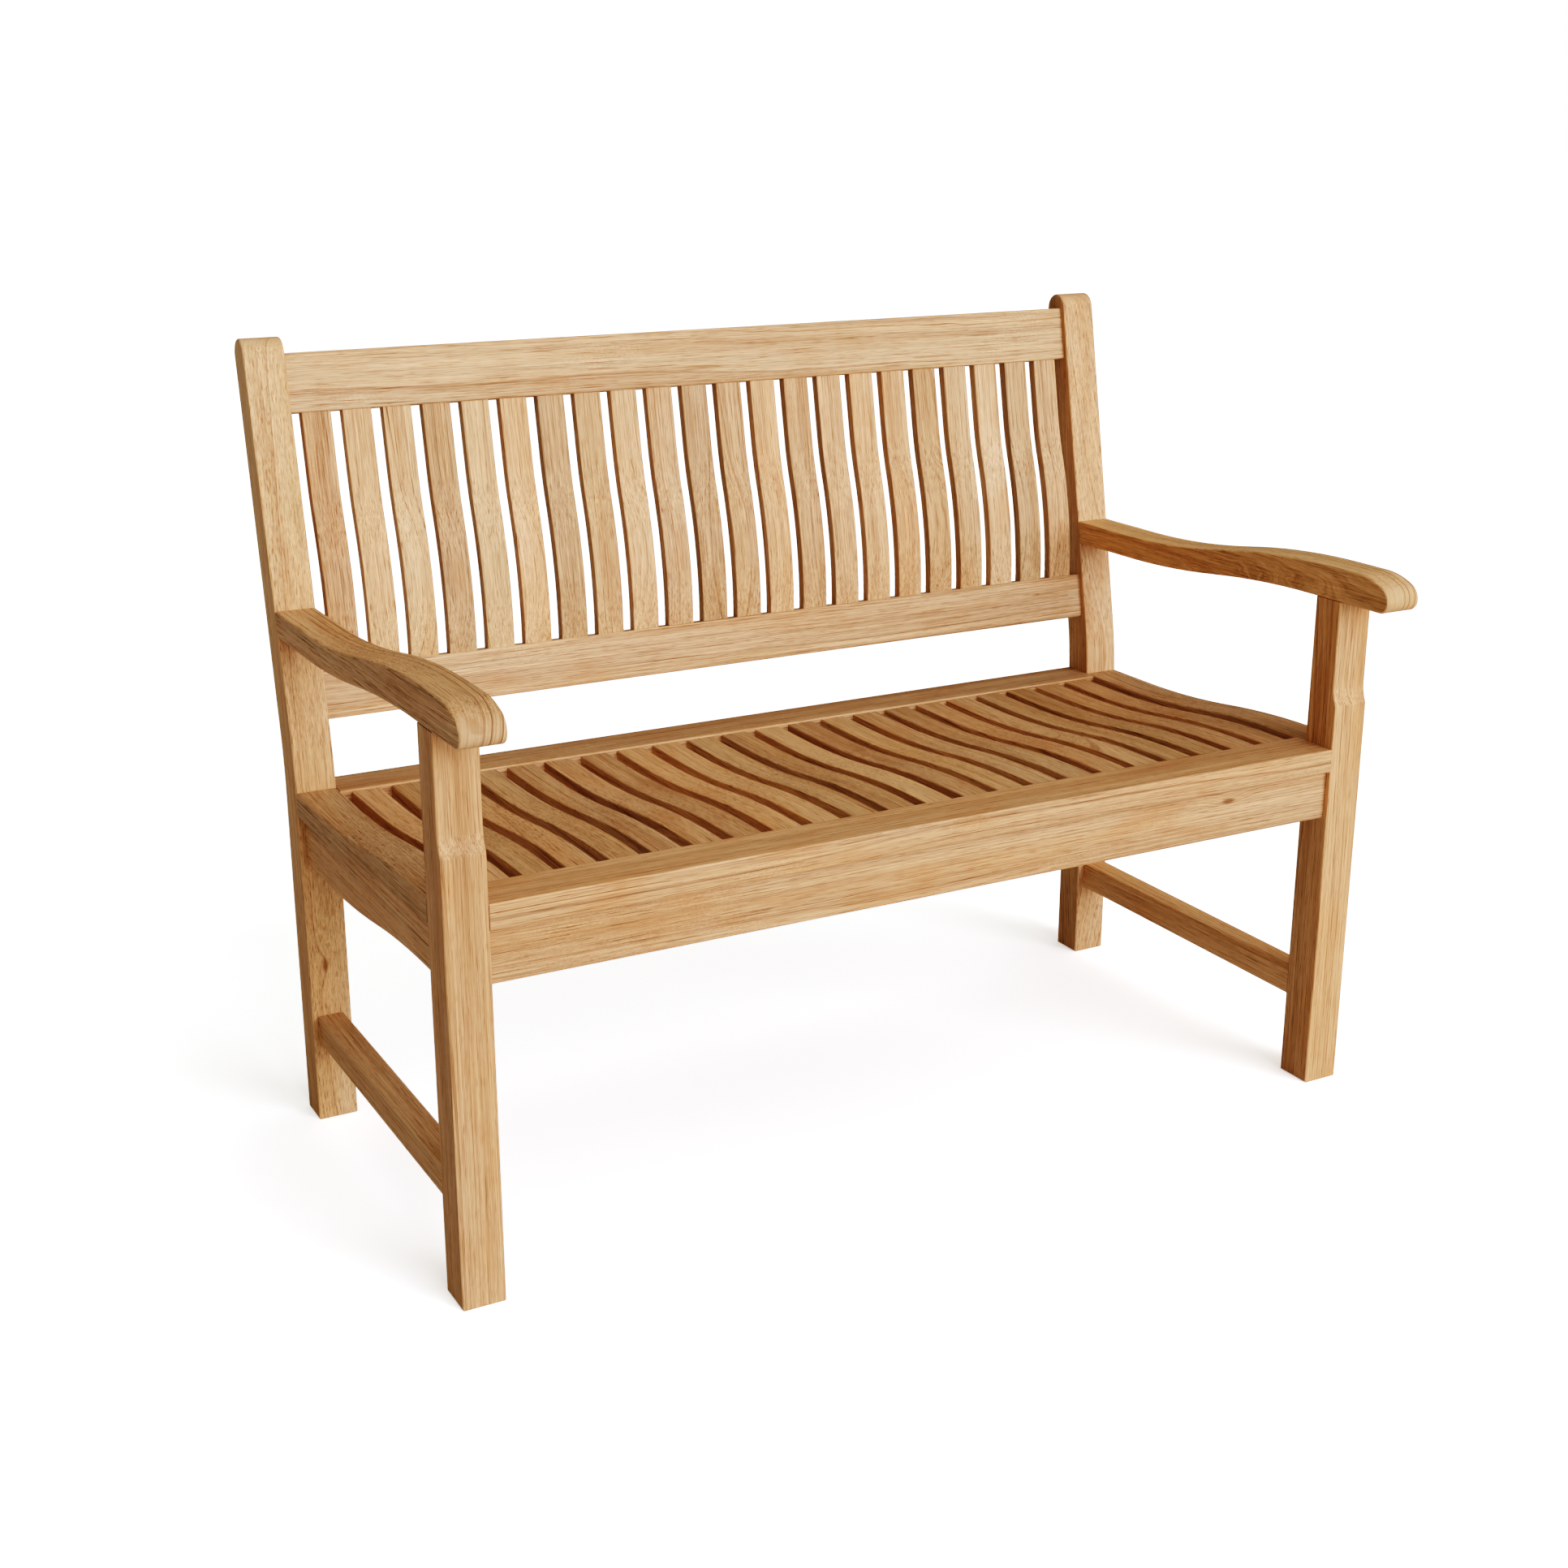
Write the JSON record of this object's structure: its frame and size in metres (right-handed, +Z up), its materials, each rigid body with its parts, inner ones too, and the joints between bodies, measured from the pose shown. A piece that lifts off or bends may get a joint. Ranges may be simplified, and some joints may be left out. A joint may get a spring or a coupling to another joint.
{
  "type": "garden bench",
  "caption": "Two-seat hardwood garden bench with flat arms, upright back slats and a dished slatted seat, held by tenons and pegs.",
  "frame": {"origin": "on the ground, under the middle of the bench's overall box", "axes": "+X from the left arm to the right arm as seen from the front, +Y towards the back, +Z up; the bench faces -Y"},
  "size_m": [1.22, 0.7188, 0.965],
  "materials": {
    "frame_wood": "bare planed hardwood, unfinished",
    "slat_wood": "bare planed hardwood, unfinished",
    "peg_wood": "end grain, unfinished"
  },
  "bodies": {
    "root": {"front_leg_left": "frame_wood", "back_post_left": "frame_wood", "arm_left": "frame_wood", "side_board_left": "frame_wood", "side_apron_left": "frame_wood", "side_stretcher_left": "frame_wood", "front_leg_right": "frame_wood", "back_post_right": "frame_wood", "arm_right": "frame_wood", "side_board_right": "frame_wood", "side_apron_right": "frame_wood", "side_stretcher_right": "frame_wood", "front_board": "frame_wood", "rear_board": "frame_wood", "front_apron": "frame_wood", "rear_apron": "frame_wood", "seat_bearer": "frame_wood", "lower_back_rail": "frame_wood", "top_back_rail": "frame_wood", "back_slat_01": "slat_wood", "back_slat_02": "slat_wood", "back_slat_03": "slat_wood", "back_slat_04": "slat_wood", "back_slat_05": "slat_wood", "back_slat_06": "slat_wood", "back_slat_07": "slat_wood", "back_slat_08": "slat_wood", "back_slat_09": "slat_wood", "back_slat_10": "slat_wood", "back_slat_11": "slat_wood", "back_slat_12": "slat_wood", "back_slat_13": "slat_wood", "back_slat_14": "slat_wood", "back_slat_15": "slat_wood", "back_slat_16": "slat_wood", "back_slat_17": "slat_wood", "back_slat_18": "slat_wood", "back_slat_19": "slat_wood", "back_slat_20": "slat_wood", "back_slat_21": "slat_wood", "back_slat_22": "slat_wood", "seat_slats": "slat_wood", "joint_pegs": "peg_wood"}
  },
  "joints": []
}
